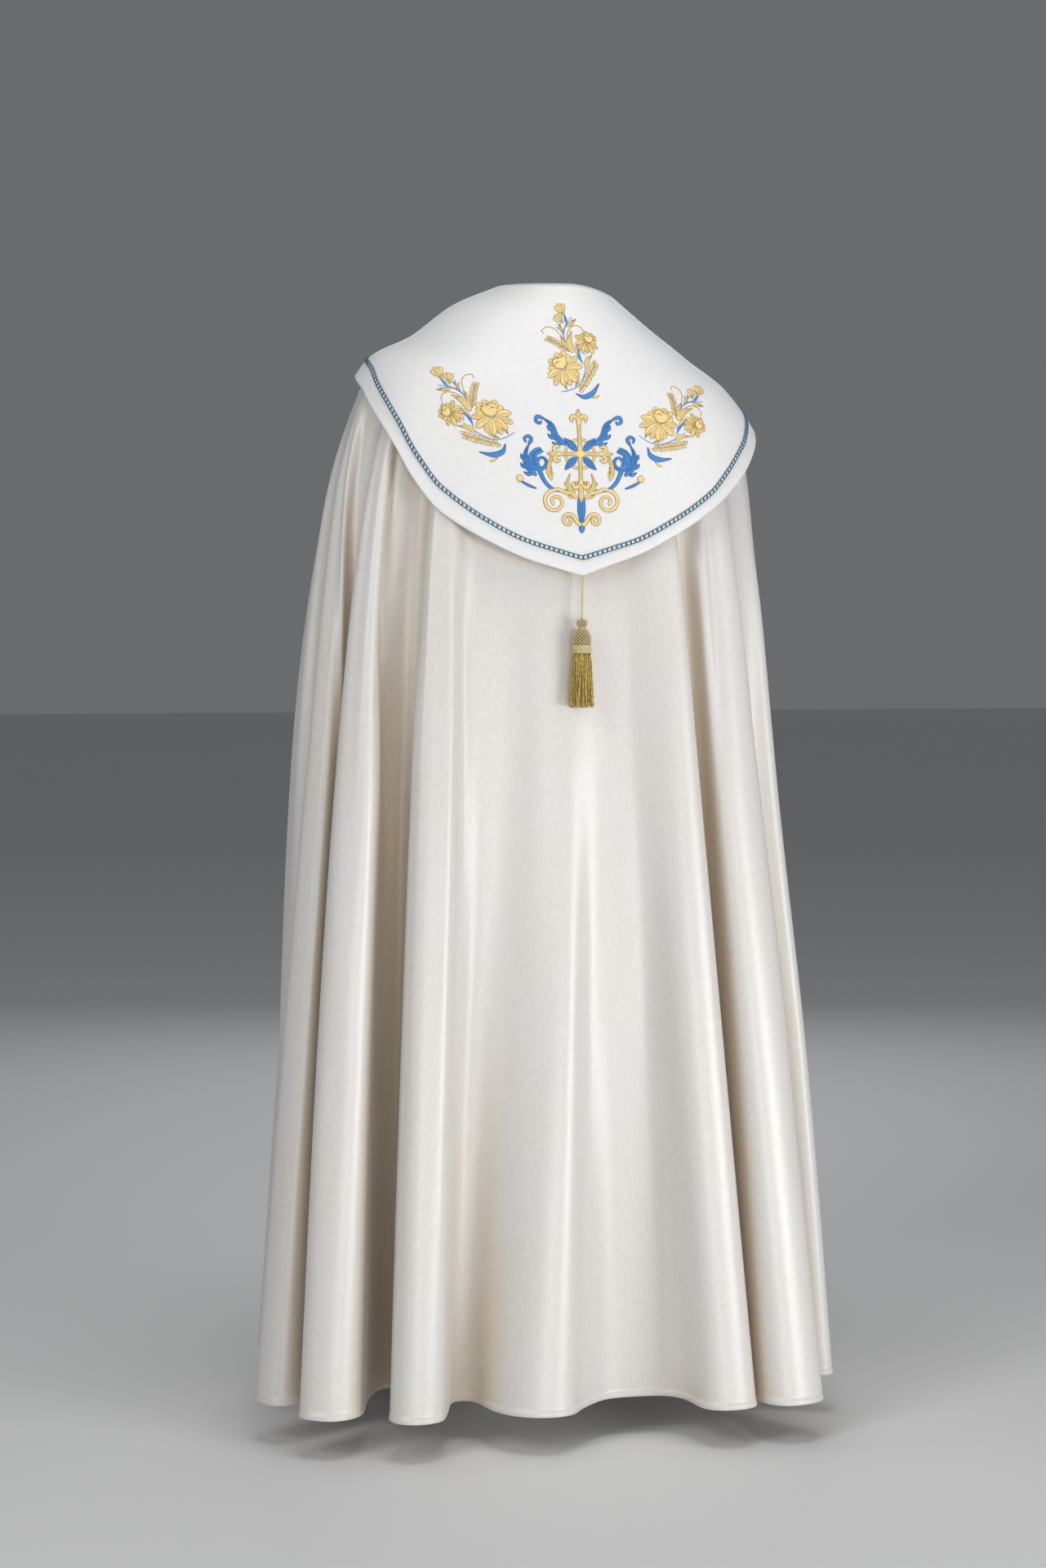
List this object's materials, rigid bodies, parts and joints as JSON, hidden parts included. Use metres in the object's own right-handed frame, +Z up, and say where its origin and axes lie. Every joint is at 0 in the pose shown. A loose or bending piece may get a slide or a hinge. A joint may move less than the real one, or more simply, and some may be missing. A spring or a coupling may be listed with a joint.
{
  "type": "cope vestment",
  "caption": "Full-length half-circle cope hanging in deep folds, with a wide pointed hood edged in braid, a tassel at its point and a chest clasp.",
  "frame": {"origin": "middle of the neck opening, level with the back of the neck seam less 12 mm, where the wearer's neck and shoulders hold it", "axes": "+Z up, the front faces -Y, the back and its hood face +Y, the wearer's left is +X"},
  "size_m": [0.7773, 0.5702, 1.4562],
  "materials": {
    "mantle_satin": "ivory satin with a soft sheen",
    "hood_satin": "white satin, stiffened",
    "edging_braid": "woven ladder braid",
    "tassel_cord_yarn": "twisted cord",
    "tassel_head_yarn": "netted gold thread",
    "tassel_yarn": "gold yarn"
  },
  "bodies": {
    "root": {"mantle": "mantle_satin", "hood": "hood_satin", "hood_braid": "edging_braid", "clasp": "mantle_satin", "tassel_cord": "tassel_cord_yarn", "tassel_head": "tassel_head_yarn", "tassel_skirt": "tassel_yarn"}
  },
  "joints": []
}
